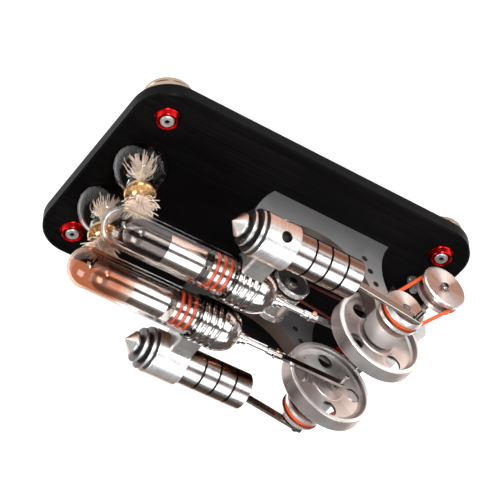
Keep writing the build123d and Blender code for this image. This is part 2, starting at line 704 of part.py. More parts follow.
for side, s in SIDES:
    pin_x, pin_z = on_crank(DISPLACER_THROW, CRANK_ANGLE[side])
    clevis_x = pin_x - sqrt(LINK_LENGTH**2 - (pin_z - AXIS_Z) ** 2)
    tip_x = clevis_x - DISPLACER_TIP
    split_x = clevis_x - DISPLACER_SPLIT
    end_x = clevis_x - DISPLACER_END
    tube_plane = Plane(origin=(0, s * TUBE_Y, AXIS_Z), x_dir=(1, 0, 0), z_dir=(0, -1, 0))
    tube_axis = Axis((0, s * TUBE_Y, AXIS_Z), (1, 0, 0))

    with BuildPart() as displacer_can:
        can_inner_r = DISPLACER_R - 0.4
        nose_x = tip_x + DISPLACER_R
        with BuildSketch(tube_plane):
            with BuildLine():
                ThreePointArc(
                    (tip_x, 0),
                    (nose_x - DISPLACER_R * half, DISPLACER_R * half),
                    (nose_x, DISPLACER_R),
                )
                Polyline(
                    (nose_x, DISPLACER_R),
                    (split_x, DISPLACER_R),
                    (split_x, can_inner_r),
                    (nose_x, can_inner_r),
                )
                ThreePointArc(
                    (nose_x, can_inner_r),
                    (nose_x - can_inner_r * half, can_inner_r * half),
                    (tip_x + 0.4, 0),
                )
                Line((tip_x + 0.4, 0), (tip_x, 0))
            make_face()
        revolve(axis=tube_axis)
    save(displacer_can, f"displacer_can_{side}")

    with BuildPart() as displacer_cap:
        cap_outline = [
            (split_x - split_overlap, 0),
            (split_x - split_overlap, can_inner_r),
            (split_x, can_inner_r),
            (split_x, DISPLACER_R),
            (end_x - 0.4, DISPLACER_R),
            (end_x, DISPLACER_R - 0.4),
            (end_x, ROD_R),
            (end_x - 8.0, ROD_R),
            (end_x - 8.0, 0),
        ]
        turn_x(cap_outline, s * TUBE_Y, AXIS_Z)
    save(displacer_cap, f"displacer_cap_{side}")

    with BuildPart() as displacer_rod:
        rod_outline = [
            (end_x - 8.0, 0),
            (end_x - 8.0, ROD_R),
            (clevis_x - 6.0, ROD_R),
            (clevis_x - 5.5, EAR_R),
            (clevis_x + CLEVIS_REACH - 0.5, EAR_R),
            (clevis_x + CLEVIS_REACH, EAR_R - 0.5),
            (clevis_x + CLEVIS_REACH, 0),
        ]
        turn_x(rod_outline, s * TUBE_Y, AXIS_Z)
        slot_half = LINK_THICK / 2 + 0.1
        with BuildSketch(across(s * (TUBE_Y + slot_half))):
            with Locations((clevis_x + 2.0, AXIS_Z)):
                Rectangle(10.0, 8.0)
        extrude(amount=s * 2 * slot_half, mode=Mode.SUBTRACT)
        ear_in, ear_out = s * TUBE_Y - EAR_R - 1, s * TUBE_Y + EAR_R + 1
        rod_y(clevis_x, AXIS_Z, LINK_PIN_R, ear_in, ear_out, Mode.SUBTRACT)
    save(displacer_rod, f"displacer_rod_{side}")

    with BuildPart() as clevis_screw:
        middle_y = s * TUBE_Y
        screw_outline = [
            (middle_y - EAR_R - 0.9, 0),
            (middle_y - EAR_R - 0.9, 0.6),
            (middle_y - EAR_R - 0.6, LINK_PIN_R),
            (middle_y + EAR_R, LINK_PIN_R),
            (middle_y + EAR_R, 1.4),
            (middle_y + EAR_R + 0.6, 1.4),
            (middle_y + EAR_R + 0.9, 1.1),
            (middle_y + EAR_R + 0.9, 0),
        ]
        turn_y(screw_outline, clevis_x, AXIS_Z)
    save(clevis_screw, f"clevis_screw_{side}")

    link_plane = Plane(
        origin=(clevis_x, s * (TUBE_Y + LINK_THICK / 2), AXIS_Z),
        x_dir=(pin_x - clevis_x, 0, pin_z - AXIS_Z),
        z_dir=(0, -1, 0),
    )
    with BuildPart() as link:
        with BuildSketch(link_plane):
            with Locations((LINK_LENGTH / 2, 0)):
                Rectangle(LINK_LENGTH, LINK_HEIGHT)
            Circle(LINK_HEIGHT / 2)
            with Locations((LINK_LENGTH, 0)):
                Circle(LINK_HEIGHT / 2 + 0.1)
            Circle(LINK_PIN_R + RUNNING_GAP, mode=Mode.SUBTRACT)
        extrude(amount=s * LINK_THICK)
        pin_line = [
            (LINK_TIP, 0),
            (LINK_TIP, 0.8),
            (LINK_TIP + 0.4, 1.2),
            (TUBE_Y, 1.2),
            (TUBE_Y, 0),
        ]
        turn_y(pin_line, pin_x, pin_z, s)
    save(link, f"link_{side}")

# ---------------------------------------------------------------- flywheels, crankshafts and pulleys
for side, s in SIDES:
    angle = CRANK_ANGLE[side]
    with BuildPart() as flywheel:
        wheel_outline = [
            (HUB_FACE, SHAFT_R),
            (HUB_FACE, FLYWHEEL_HUB_R - 0.3),
            (HUB_FACE + 0.3, FLYWHEEL_HUB_R),
            (WEB_IN - 0.5, FLYWHEEL_HUB_R + 0.1),
            (WEB_IN - 0.2, FLYWHEEL_HUB_R + 0.6),
            (WEB_IN + 0.2, RIM_INNER_R - 2.6),
            (WEB_IN - 0.1, RIM_INNER_R - 1.2),
            (WEB_IN - 0.8, RIM_INNER_R - 0.3),
            (FLYWHEEL_IN + 0.6, RIM_INNER_R),
            (FLYWHEEL_IN + 0.2, RIM_INNER_R + 0.2),
            (FLYWHEEL_IN, RIM_INNER_R + 0.6),
            (FLYWHEEL_IN, FLYWHEEL_R - 0.6),
            (FLYWHEEL_IN + 0.2, FLYWHEEL_R - 0.2),
            (FLYWHEEL_IN + 0.6, FLYWHEEL_R),
            (FLYWHEEL_OUT - 0.5, FLYWHEEL_R),
            (FLYWHEEL_OUT, FLYWHEEL_R - 0.5),
            (FLYWHEEL_OUT, RIM_INNER_R + 0.4),
            (FLYWHEEL_OUT - 0.4, RIM_INNER_R),
            (WEB_OUT + 0.8, RIM_INNER_R - 0.4),
            (WEB_OUT, RIM_INNER_R - 1.6),
            (WEB_OUT, 11.4),
            (WEB_OUT + 0.6, 10.8),
            (WEB_OUT + 0.6, 9.6),
            (WEB_OUT + 0.1, 9.2),
            (WEB_OUT + 0.1, 8.0),
            (BOSS_IN - 0.5, 7.6),
            (BOSS_IN - 0.5, SHAFT_R),
        ]
        turn_y(wheel_outline, CRANK_X, AXIS_Z, s)
        for quarter in range(4):
            hole_x, hole_z = on_crank(FLYWHEEL_HOLE_PCR, FLYWHEEL_HOLE_ANGLE[side] + 90 * quarter)
            rod_y(hole_x, hole_z, FLYWHEEL_HOLE_R, s * 16, s * 27, Mode.SUBTRACT)
        stub_x, stub_z = on_crank(DISPLACER_THROW, angle)
        rod_y(stub_x, stub_z, 1.2, s * (HUB_FACE + 1), s * (FLYWHEEL_IN - 0.45))
    save(flywheel, f"flywheel_{side}")

    with BuildPart() as crankshaft:
        shaft_outline = [
            (HUB_FACE, 0),
            (HUB_FACE, SHAFT_R),
            (DISC_FACE - 2.2, SHAFT_R),
            (DISC_FACE - 2.2, 0),
        ]
        turn_y(shaft_outline, CRANK_X, AXIS_Z, s)
    save(crankshaft, f"crankshaft_{side}")

    with BuildPart() as crank_pulley:
        flange_r = 11.3
        pulley_outline = [
            (UPRIGHT_OUT + 0.6, SHAFT_R),
            (UPRIGHT_OUT + 0.6, 4.0),
            (38.2, 4.4),
            (38.5, flange_r - 0.9),
            (38.9, flange_r),
            (DISC_FACE - 2.0, flange_r),
            (DISC_FACE - 1.4, 10.9),
            (DISC_FACE, 10.4),
            (DISC_FACE, 1.4),
            (DISC_FACE - 2.2, 1.4),
            (DISC_FACE - 2.2, SHAFT_R),
        ]
        crank_groove = groove_outline(BELT_Y, CRANK_GROOVE_R, flange_r)
        pulley(pulley_outline, crank_groove, s, CRANK_X, AXIS_Z)
        stub_x, stub_z = on_crank(POWER_THROW, angle + 90)
        rod_y(stub_x, stub_z, 1.5, s * DISC_FACE, s * (DISC_FACE + 0.3))
    save(crank_pulley, f"crank_pulley_{side}")

    with BuildPart() as belt:
        belt_out = BELT_GAP + BELT_R
        belt_loop(
            s * BELT_Y,
            BELT_R,
            (CRANK_X, AXIS_Z, CRANK_GROOVE_R + belt_out),
            (LAY_X, LAY_Z, LAY_GROOVE_R + belt_out),
        )
    save(belt, f"belt_{side}")

# ---------------------------------------------------------------- layshaft
with BuildPart() as pedestals:
    for side, s in SIDES:
        with BuildSketch(across(s * PEDESTAL_OUT)):
            with Locations((LAY_X, LAY_Z)):
                Circle(PEDESTAL_HEAD_R)
            with BuildLine():
                Polyline(
                    (LAY_X - 8.0, DECK),
                    (LAY_X + 8.0, DECK),
                    (LAY_X + 8.0, DECK + 3.0),
                    (LAY_X + 6.4, DECK + 6.0),
                    (LAY_X + 7.6, LAY_Z - 7.0),
                    (LAY_X - 7.6, LAY_Z - 7.0),
                    (LAY_X - 6.4, DECK + 6.0),
                    (LAY_X - 8.0, DECK + 3.0),
                    close=True,
                )
            make_face()
        extrude(amount=s * (PEDESTAL_OUT - PEDESTAL_IN))
        bore_in, bore_out = s * (PEDESTAL_IN - 1), s * (PEDESTAL_OUT + 1)
        rod_y(LAY_X, LAY_Z, SHAFT_R + RUNNING_GAP, bore_in, bore_out, Mode.SUBTRACT)
    with BuildSketch(Plane.XY.offset(DECK)):
        with Locations(*pedestal_screws):
            Circle(FRAME_SCREW_R)
    extrude(amount=SCREW_BITE, mode=Mode.SUBTRACT)
save(pedestals, "pedestals")

with BuildPart() as layshaft:
    rod_y(LAY_X, LAY_Z, SHAFT_R, -DISC_FACE - 1.0, DISC_FACE + 1.0)
    chamfer(layshaft.faces().filter_by(Axis.Y).edges(), 0.4)
    for _, s in SIDES:
        rod_y(LAY_X, LAY_Z, 0.8, s * (DISC_FACE - 1.0), s * (DISC_FACE + 2.0), Mode.SUBTRACT)
save(layshaft, "layshaft")

with BuildPart() as drive_pulleys:
    for side, s in SIDES:
        wheel_r = 12.8
        outline = [
            (35.2, SHAFT_R),
            (35.2, 5.0),
            (35.7, 5.5),
            (38.0, 5.7),
            (38.2, wheel_r - 1.2),
            (38.7, wheel_r - 0.5),
            (DISC_FACE - 3.4, wheel_r - 0.4),
            (DISC_FACE - 0.7, wheel_r),
            (DISC_FACE, wheel_r - 0.6),
            (DISC_FACE, wheel_r - 1.4),
            (DISC_FACE - 0.8, 3.1),
            (DISC_FACE - 1.6, 2.9),
            (DISC_FACE - 1.6, SHAFT_R),
        ]
        pulley(outline, groove_outline(BELT_Y, LAY_GROOVE_R, wheel_r), s, LAY_X, LAY_Z)
save(drive_pulleys, "drive_pulleys")


def small_wheel(rim_r, root_r, back, front):
    """The outline of a wheel for the generator belt, with an open dish in its front face."""
    return [
        (back, SHAFT_R),
        (back, rim_r - 0.4),
        (back + 0.4, rim_r),
        (GEN_BELT_Y - 1.0, rim_r),
        (GEN_BELT_Y - 1.0, root_r + 0.4),
        (GEN_BELT_Y - 0.6, root_r),
        (GEN_BELT_Y + 0.6, root_r),
        (GEN_BELT_Y + 1.0, root_r + 0.4),
        (GEN_BELT_Y + 1.0, rim_r),
        (front - 0.5, rim_r),
        (front, rim_r - 0.5),
        (front, rim_r - 1.2),
        (front - 0.5, rim_r - 1.6),
        (front - 1.6, 3.8),
        (front - 1.6, 3.4),
        (front - 0.6, 3.2),
        (front - 0.6, SHAFT_R),
    ]


with BuildPart() as middle_pulley:
    turn_y(small_wheel(MIDDLE_PULLEY_R, MIDDLE_GROOVE_R, -1.8, 3.8), LAY_X, LAY_Z)
save(middle_pulley, "middle_pulley")

# ---------------------------------------------------------------- generator, its bracket and belt
GEN_SHAFT_R = 2.0
GEN_PULLEY_FRONT = 4.8

with BuildPart() as generator_can:
    can_outline = [
        (GEN_CAN_FRONT + 0.2, GEN_SHAFT_R + RUNNING_GAP),
        (GEN_CAN_FRONT + 0.2, 3.4),
        (GEN_CAN_FRONT, 3.4),
        (GEN_CAN_FRONT, GEN_CAN_R - 1.0),
        (GEN_CAN_FRONT - 0.9, GEN_CAN_R),
        (GEN_CAN_BACK + 4.4, GEN_CAN_R),
        (GEN_CAN_BACK + 4.2, GEN_CAN_R - 0.5),
        (GEN_CAN_BACK + 3.6, GEN_CAN_R - 0.5),
        (GEN_CAN_BACK + 3.4, GEN_CAN_R + 0.5),
        (GEN_CAN_BACK + 1.0, GEN_CAN_R + 0.5),
        (GEN_CAN_BACK, GEN_CAN_R - 0.6),
        (GEN_CAN_BACK, 0),
        (GEN_CAN_FRONT - 10.0, 0),
        (GEN_CAN_FRONT - 10.0, GEN_SHAFT_R + RUNNING_GAP),
    ]
    turn_y(can_outline, GEN_X, GEN_Z)
save(generator_can, "generator_can")

with BuildPart() as generator_bracket:
    with BuildSketch(across(-3.0)):
        with BuildLine():
            Polyline(
                (GEN_X - 10.5, DECK),
                (GEN_X + 10.5, DECK),
                (GEN_X + 10.5, DECK + 2.5),
                (GEN_X + 8.6, GEN_Z - 2.0),
                (GEN_X - 8.6, GEN_Z - 2.0),
                (GEN_X - 10.5, DECK + 2.5),
                close=True,
            )
        make_face()
    extrude(amount=11.0)
    rod_y(GEN_X, GEN_Z, GEN_CAN_R, -2.0, -15.0, Mode.SUBTRACT)
    with BuildSketch(Plane.XY.offset(DECK)):
        with Locations(*bracket_screws):
            Circle(FRAME_SCREW_R)
    extrude(amount=SCREW_BITE, mode=Mode.SUBTRACT)
save(generator_bracket, "generator_bracket")

with BuildPart() as generator_shaft:
    rod_y(GEN_X, GEN_Z, GEN_SHAFT_R, GEN_CAN_FRONT - 9.0, GEN_PULLEY_FRONT)
save(generator_shaft, "generator_shaft")

with BuildPart() as generator_pulley:
    back = GEN_CAN_FRONT + 0.4
    turn_y(small_wheel(GEN_PULLEY_R, GEN_GROOVE_R, back, GEN_PULLEY_FRONT), GEN_X, GEN_Z)
save(generator_pulley, "generator_pulley")

with BuildPart() as generator_belt:
    belt_out = GEN_BELT_R + 0.3
    belt_loop(
        GEN_BELT_Y,
        GEN_BELT_R,
        (GEN_X, GEN_Z, GEN_GROOVE_R + belt_out),
        (LAY_X, LAY_Z, MIDDLE_GROOVE_R + belt_out),
    )
save(generator_belt, "generator_belt")

# ---------------------------------------------------------------- indicator lamp
LED_AT = (81.6, 22.6)
LED_FLANGE_R = 2.6
LED_R = 2.0
LED_WAIST_Z = DECK + 7.8

with BuildPart() as led_lens:
    led_plane = Plane(origin=(*LED_AT, 0), x_dir=(1, 0, 0), z_dir=(0, -1, 0))
    with BuildSketch(led_plane):
        with BuildLine():
            Polyline(
                (0, LED_WAIST_Z + LED_R),
                (0, DECK),
                (LED_FLANGE_R, DECK),
                (LED_FLANGE_R, DECK + 1.6),
                (LED_R, DECK + 2.2),
                (LED_R, LED_WAIST_Z),
            )
            ThreePointArc(
                (LED_R, LED_WAIST_Z),
                (LED_R * half, LED_WAIST_Z + LED_R * half),
                (0, LED_WAIST_Z + LED_R),
            )
        make_face()
    revolve(axis=Axis((*LED_AT, 0), (0, 0, 1)))
save(led_lens, "led_lens")
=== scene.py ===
import math
import random

import bpy
from mathutils import Matrix, Vector


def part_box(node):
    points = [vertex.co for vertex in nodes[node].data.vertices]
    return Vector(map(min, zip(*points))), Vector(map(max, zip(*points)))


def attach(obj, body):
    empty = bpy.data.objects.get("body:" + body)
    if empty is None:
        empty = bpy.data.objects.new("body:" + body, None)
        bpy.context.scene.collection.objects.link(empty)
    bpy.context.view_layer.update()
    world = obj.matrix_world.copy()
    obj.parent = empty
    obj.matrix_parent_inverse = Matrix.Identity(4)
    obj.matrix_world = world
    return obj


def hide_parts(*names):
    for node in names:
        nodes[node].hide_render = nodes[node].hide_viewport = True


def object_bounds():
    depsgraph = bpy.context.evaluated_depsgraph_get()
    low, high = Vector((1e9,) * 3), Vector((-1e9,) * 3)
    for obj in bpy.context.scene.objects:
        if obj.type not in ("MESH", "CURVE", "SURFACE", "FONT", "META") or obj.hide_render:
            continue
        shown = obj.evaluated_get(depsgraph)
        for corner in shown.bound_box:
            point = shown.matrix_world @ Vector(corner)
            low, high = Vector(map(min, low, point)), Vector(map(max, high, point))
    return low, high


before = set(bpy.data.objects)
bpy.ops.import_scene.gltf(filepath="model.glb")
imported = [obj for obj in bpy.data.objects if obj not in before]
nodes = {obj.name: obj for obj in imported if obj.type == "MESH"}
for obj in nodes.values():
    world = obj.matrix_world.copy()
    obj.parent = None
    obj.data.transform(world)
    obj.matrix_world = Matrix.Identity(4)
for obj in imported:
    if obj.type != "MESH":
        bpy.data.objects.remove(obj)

cad_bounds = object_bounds()
UP = Vector((0, 0, 1))


# ------------------------------------------------------------------ materials
class Surface:
    """One Principled material and the procedural layers that feed it."""

    def __init__(self, name, colour, metallic=0.0, roughness=0.4, **sockets):
        self.material = bpy.data.materials.new(name)
        self.material.use_nodes = True
        self.tree = self.material.node_tree
        self.shader = self.tree.nodes["Principled BSDF"]
        self.height = None
        self.set("Base Color", (*colour, 1.0))
        self.set("Metallic", metallic)
        self.set("Roughness", roughness)
        for socket, value in sockets.items():
            self.set(socket.replace("_", " "), value)

    def set(self, socket, value):
        self.shader.inputs[socket].default_value = value

    def node(self, kind, **inputs):
        made = self.tree.nodes.new("ShaderNode" + kind)
        for name, value in inputs.items():
            made.inputs[name.replace("_", " ")].default_value = value
        return made

    def link(self, out, into):
        self.tree.links.new(out, into)

    def place(self, scale=(1, 1, 1), at=(0, 0, 0)):
        """Object coordinates, moved so that a point lies at the origin, then scaled."""
        coords = self.node("TexCoord")
        shift = self.node("Mapping", Location=[-a for a in at])
        self.link(coords.outputs["Object"], shift.inputs["Vector"])
        stretch = self.node("Mapping", Scale=scale)
        self.link(shift.outputs["Vector"], stretch.inputs["Vector"])
        return stretch.outputs["Vector"]

    def noise(self, scale, detail=4.0, roughness=0.55):
        made = self.node("TexNoise", Scale=1.0, Detail=detail, Roughness=roughness)
        self.link(self.place(scale), made.inputs["Vector"])
        return made.outputs["Fac"]

    def spread(self, value, low, high, start=0.3, end=0.7):
        made = self.node("MapRange")
        made.inputs["From Min"].default_value = start
        made.inputs["From Max"].default_value = end
        made.inputs["To Min"].default_value = low
        made.inputs["To Max"].default_value = high
        self.link(value, made.inputs["Value"])
        return made.outputs["Result"]

    def math(self, how, a, b):
        made = self.node("Math")
        made.operation = how
        for socket, value in zip(made.inputs, (a, b)):
            if hasattr(value, "is_linked"):
                self.link(value, socket)
            else:
                socket.default_value = value
        return made.outputs["Value"]

    def mix(self, fac, low, high):
        """A colour between two colours; either may be a socket."""
        made = self.node("Mix")
        made.data_type = "RGBA"
        self.link(fac, made.inputs["Factor"])
        for socket, value in ((made.inputs[6], low), (made.inputs[7], high)):
            if hasattr(value, "is_linked"):
                self.link(value, socket)
            else:
                socket.default_value = (*value, 1.0)
        return made.outputs[2]

    def colour(self, socket):
        self.link(socket, self.shader.inputs["Base Color"])

    def tone(self):
        """The socket that colours the surface so far."""
        return self.shader.inputs["Base Color"].links[0].from_socket

    def rough(self, value):
        self.link(value, self.shader.inputs["Roughness"])

    def bump(self, value, depth, strength=1.0):
        """Adds a layer of relief, in metres."""
        made = self.node("Bump", Strength=strength, Distance=depth)
        self.link(value, made.inputs["Height"])
        if self.height is not None:
            self.link(self.height, made.inputs["Normal"])
        self.height = made.outputs["Normal"]
        self.link(self.height, self.shader.inputs["Normal"])

    def part_of(self, source, axis):
        """One coordinate of the piece's own Normal or Object coordinates."""
        coords = self.node("TexCoord")
        parts = self.node("SeparateXYZ")
        self.link(coords.outputs[source], parts.inputs["Vector"])
        return parts.outputs[axis]

    def square_to(self, axis):
        """How squarely the surface faces along one axis, from 0 to 1."""
        return self.math("ABSOLUTE", self.part_of("Normal", axis), 0.0)

    def round_x(self, bands):
        """A painted reflection tint from bands round the X axis: (degrees from +Z towards +Y, colour).
        """
        return self.bands(self.part_of("Normal", "Y"), self.part_of("Normal", "Z"), bands)

    def round_y(self, bands):
        """A painted reflection tint from bands round the Y axis: (degrees from +Z towards +X, colour).
        """
        return self.bands(self.part_of("Normal", "X"), self.part_of("Normal", "Z"), bands)

    def dial(self, centre, bands):
        """A painted reflection tint by the angle about a line along Y: (degrees from +Z towards +X,
        colour).
        """
        parts = self.node("SeparateXYZ")
        self.link(self.place((1, 1, 1), centre), parts.inputs["Vector"])
        return self.bands(parts.outputs["X"], parts.outputs["Z"], bands)

    def bands(self, across, along, bands):
        """Colours by the angle of a direction, which two of its coordinates give."""
        angle = self.math("ARCTAN2", across, along)
        ramp = self.node("ValToRGB")
        self.link(self.spread(angle, 0.0, 1.0, -math.pi, math.pi), ramp.inputs["Fac"])
        stops = ramp.color_ramp.elements
        for i, (degrees, tint) in enumerate(bands):
            at = 0.5 + degrees / 360.0
            stop = stops[i] if i < 2 else stops.new(at)
            stop.position = at
            stop.color = (*tint, 1.0)
        return ramp.outputs["Color"]

    def times(self, one, other):
        """Two colour sockets multiplied."""
        made = self.node("Mix")
        made.data_type = "RGBA"
        made.blend_type = "MULTIPLY"
        made.inputs["Factor"].default_value = 1.0
        self.link(one, made.inputs[6])
        self.link(other, made.inputs[7])
        return made.outputs[2]

    def spin_tangent(self, axis, amount):
        """Turned grain: highlights spread round one axis."""
        made = self.node("Tangent")
        made.direction_type = "RADIAL"
        made.axis = axis
        self.set("Anisotropic", amount)
        self.link(made.outputs["Tangent"], self.shader.inputs["Tangent"])

    def radius(self, centre, axis):
        """The distance from a line through a point along one axis, in metres."""
        scale = [1.0, 1.0, 1.0]
        scale["XYZ".index(axis)] = 0.0
        length = self.node("VectorMath")
        length.operation = "LENGTH"
        self.link(self.place(scale, centre), length.inputs[0])
        return length.outputs["Value"]

    def highlight_fan(self, centre, axis, wedges):
        """Pale painted highlight wedges that run out from an axis, as on a faced disc."""
        scale = [1.0, 1.0, 1.0]
        scale["XYZ".index(axis)] = 0.0
        spoke = self.node("VectorMath")
        spoke.operation = "NORMALIZE"
        self.link(self.place(scale, centre), spoke.inputs[0])
        made = self.node("TexNoise", Scale=wedges, Detail=2.0, Roughness=0.6)
        self.link(spoke.outputs["Vector"], made.inputs["Vector"])
        return made.outputs["Fac"]

    def rings(self, centre, axis, pitch):
        """Fine turned rings round an axis, from -1 to 1."""
        turns = self.math("MULTIPLY", self.radius(centre, axis), 2 * math.pi / pitch)
        return self.math("SINE", turns, 0.0)


def finish_node(name, surface):
    """Gives a CAD node its finished material."""
    slots = nodes[name].data.materials
    if not slots:
        slots.append(surface.material)
    for i in range(len(slots)):
        slots[i] = surface.material


def metal(name, colour, roughness, face_reflection=None, streak=None, axis=None, bands=None):
    """A polished metal with faint smudges; faces square to Y may take a warmer tone, a painted
    reflection, and bands of painted reflection may run round X.
    """
    made = Surface(name, colour, 1.0, roughness)
    smudge = made.noise((140, 140, 140), 5.0)
    made.rough(made.spread(smudge, roughness * 0.75, roughness * 1.35))
    tone = made.mix(made.spread(smudge, 0.0, 1.0), [c * 0.92 for c in colour], colour)
    if face_reflection:
        painted_reflection_tone = made.mix(made.spread(smudge, 0.0, 1.0), [c * 0.93 for c in face_reflection], face_reflection)
        square = made.square_to("Y")
        tone = made.mix(made.spread(square, 0.0, 1.0, 0.82, 0.97), tone, painted_reflection_tone)
    if bands:
        tone = made.times(tone, made.round_x(bands))
    if streak:
        grain = made.noise(streak, 3.0, 0.6)
        tone = made.times(tone, made.spread(grain, 0.84, 1.08, 0.35, 0.65))
        made.bump(grain, 0.00002, 0.45)
    made.colour(tone)
    if axis:
        made.spin_tangent(axis, 0.55)
    return made


# Painted reflection tones that multiply a metal's own colour, for what a polished part would reflect.
WHITE = (1.0, 1.0, 1.0)
SILVER = (0.75, 0.75, 0.75)
CREAM = (0.88, 0.70, 0.60)
SAND = (0.72, 0.58, 0.52)
PEWTER = (0.48, 0.46, 0.45)
TAUPE = (0.55, 0.42, 0.36)
STONE = (0.38, 0.31, 0.30)
ROSE = (0.47, 0.24, 0.16)
LEAD = (0.24, 0.22, 0.215)
COCOA = (0.22, 0.12, 0.08)
BRICK = (0.26, 0.13, 0.09)
COAL = (0.12, 0.10, 0.095)
RUST = (0.15, 0.05, 0.025)
SOOT = (0.05, 0.025, 0.015)
DUSK = (0.17, 0.10, 0.075)

# Painted reflection bands round the X axis, by the surface's direction: (degrees from +Z towards +Y,
# tone).
BARREL_REFLECTION_BANDS = (
    (-150, COCOA),
    (160, SOOT),
    (-60, CREAM),
    (-35, TAUPE),
    (-15, SAND),
    (-5, TAUPE),
    (5, WHITE),
    (25, WHITE),
    (35, STONE),
    (45, PEWTER),
    (52, WHITE),
    (62, WHITE),
    (75, COCOA),
    (85, RUST),
    (110, RUST),
    (125, SOOT),
)
HEAD_REFLECTION_BANDS = (
    (-150, TAUPE),
    (160, COCOA),
    (-60, CREAM),
    (-25, CREAM),
    (-10, WHITE),
    (62, WHITE),
    (75, TAUPE),
    (92, ROSE),
    (108, ROSE),
    (122, BRICK),
)
PALE_REFLECTION_BANDS = (
    (-150, TAUPE),
    (160, COCOA),
    (-60, WHITE),
    (62, WHITE),
    (75, SAND),
    (92, ROSE),
    (108, ROSE),
    (122, COCOA),
)
MIRROR_REFLECTION_BANDS = (
    (-150, STONE),
    (160, COAL),
    (-60, SAND),
    (-20, TAUPE),
    (-10, COAL),
    (-2, COAL),
    (10, STONE),
    (25, LEAD),
    (35, LEAD),
    (48, COAL),
    (53, WHITE),
    (66, WHITE),
    (73, COAL),
    (100, COAL),
    (118, PEWTER),
)
AMBER_REFLECTION_BANDS = (
    (-150, PEWTER),
    (160, LEAD),
    (-60, SILVER),
    (-15, SILVER),
    (15, WHITE),
    (28, SILVER),
    (38, SILVER),
    (46, WHITE),
    (57, WHITE),
    (66, STONE),
    (78, COAL),
    (120, LEAD),
)
# Painted reflection bands round the Y axis: (degrees from +Z towards +X, tone).
WHEEL_REFLECTION_DIAL = (
    (-179, SILVER),
    (179, SILVER),
    (-158, WHITE),
    (-138, WHITE),
    (-120, SAND),
    (-95, STONE),
    (-60, STONE),
    (-25, PEWTER),
    (20, SAND),
    (70, SAND),
    (110, PEWTER),
    (150, PEWTER),
)
WHEEL_RIM_REFLECTIONS = (
    (-179, PEWTER),
    (179, PEWTER),
    (-120, SAND),
    (-85, STONE),
    (-55, COAL),
    (-30, LEAD),
    (5, PEWTER),
    (50, SAND),
    (110, TAUPE),
)
DISC_REFLECTION_DIAL = (
    (-179, SAND),
    (179, SAND),
    (-152, STONE),
    (-125, BRICK),
    (-40, BRICK),
    (-14, TAUPE),
    (8, STONE),
    (90, BRICK),
    (132, BRICK),
    (154, TAUPE),
)


def middle_of(node):
    """The middle of a CAD node's box, in metres."""
    low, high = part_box(node)
    return (low + high) / 2


wheel_middle = middle_of("flywheel_a")
CRANK_CENTRE = (wheel_middle.x, 0, wheel_middle.z)

# ------------------------------------------------------------------ base and fasteners
deck = Surface("deck_black", (0.003, 0.003, 0.003), 0.0, 0.36, IOR=1.09)
grain = deck.noise((14, 900, 900), 6.0, 0.7)
patch = deck.noise((9, 24, 24), 3.0)
sheen = deck.math("MULTIPLY", grain, patch)
# Brushed grain lighter in patches: partly the grain's own tone, partly a painted sheen.
grain_and_sheen = deck.spread(sheen, 0.0, 1.0, 0.2, 0.45)
deck.colour(deck.mix(grain_and_sheen, (0.0022, 0.002, 0.002), (0.0075, 0.007, 0.007)))
deck.rough(deck.spread(grain, 0.26, 0.46))
deck.bump(grain, 0.00004, 0.5)
finish_node("base_plate", deck)

bronze = metal("bronze", (0.36, 0.27, 0.21), 0.2, streak=(60, 60, 2500))
finish_node("feet", bronze)

pad = Surface("foot_rubber", (0.03, 0.03, 0.03), 0.0, 0.75)
pad.bump(pad.noise((1500, 1500, 1500)), 0.00006, 0.6)
finish_node("foot_pads", pad)

red = metal("red_anodised", (0.72, 0.012, 0.012), 0.2)
finish_node("foot_washers", red)

screw = metal("screw_steel", (0.72, 0.70, 0.68), 0.2)
for name in ("frame_screws", "wrist_pin_a", "wrist_pin_b"):
    finish_node(name, screw)

cap_screw = metal("satin_screw", (0.50, 0.49, 0.48), 0.36)
cap_screw.set("Metallic", 0.7)
screw_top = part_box("foot_screws")[1].z
SOCKET_FLOOR, SOCKET_LIP = screw_top - 0.0011, screw_top - 0.0006
# Painted shade: below the lip of the hex socket the screw is painted near-black.
socket_shade = cap_screw.spread(cap_screw.part_of("Object", "Z"), 1.0, 0.0, SOCKET_FLOOR, SOCKET_LIP)
lit = cap_screw.tone()
cap_screw.colour(cap_screw.mix(socket_shade, lit, (0.03, 0.027, 0.025)))
finish_node("foot_screws", cap_screw)

pin = metal("pin_steel", (0.22, 0.20, 0.19), 0.2)
for name in ("crank_pin_a", "crank_pin_b"):
    finish_node(name, pin)

copper = metal("copper_screw", (0.80, 0.36, 0.24), 0.2)
for name in ("clevis_screw_a", "clevis_screw_b"):
    finish_node(name, copper)

# ------------------------------------------------------------------ uprights and blocks
BOSS_R = 0.0101
plate = metal("satin_plate", (0.42, 0.415, 0.41), 0.42, streak=(30, 900, 900))
plate.set("Metallic", 0.45)
height = plate.part_of("Object", "Z")
along = plate.part_of("Object", "X")
# Painted reflection on the broad faces: dark grey low down, pinkish higher up.
broad_face_reflection = plate.mix(plate.spread(height, 0.0, 1.0, 0.045, 0.068), (0.20, 0.198, 0.20), (0.46, 0.33, 0.28))
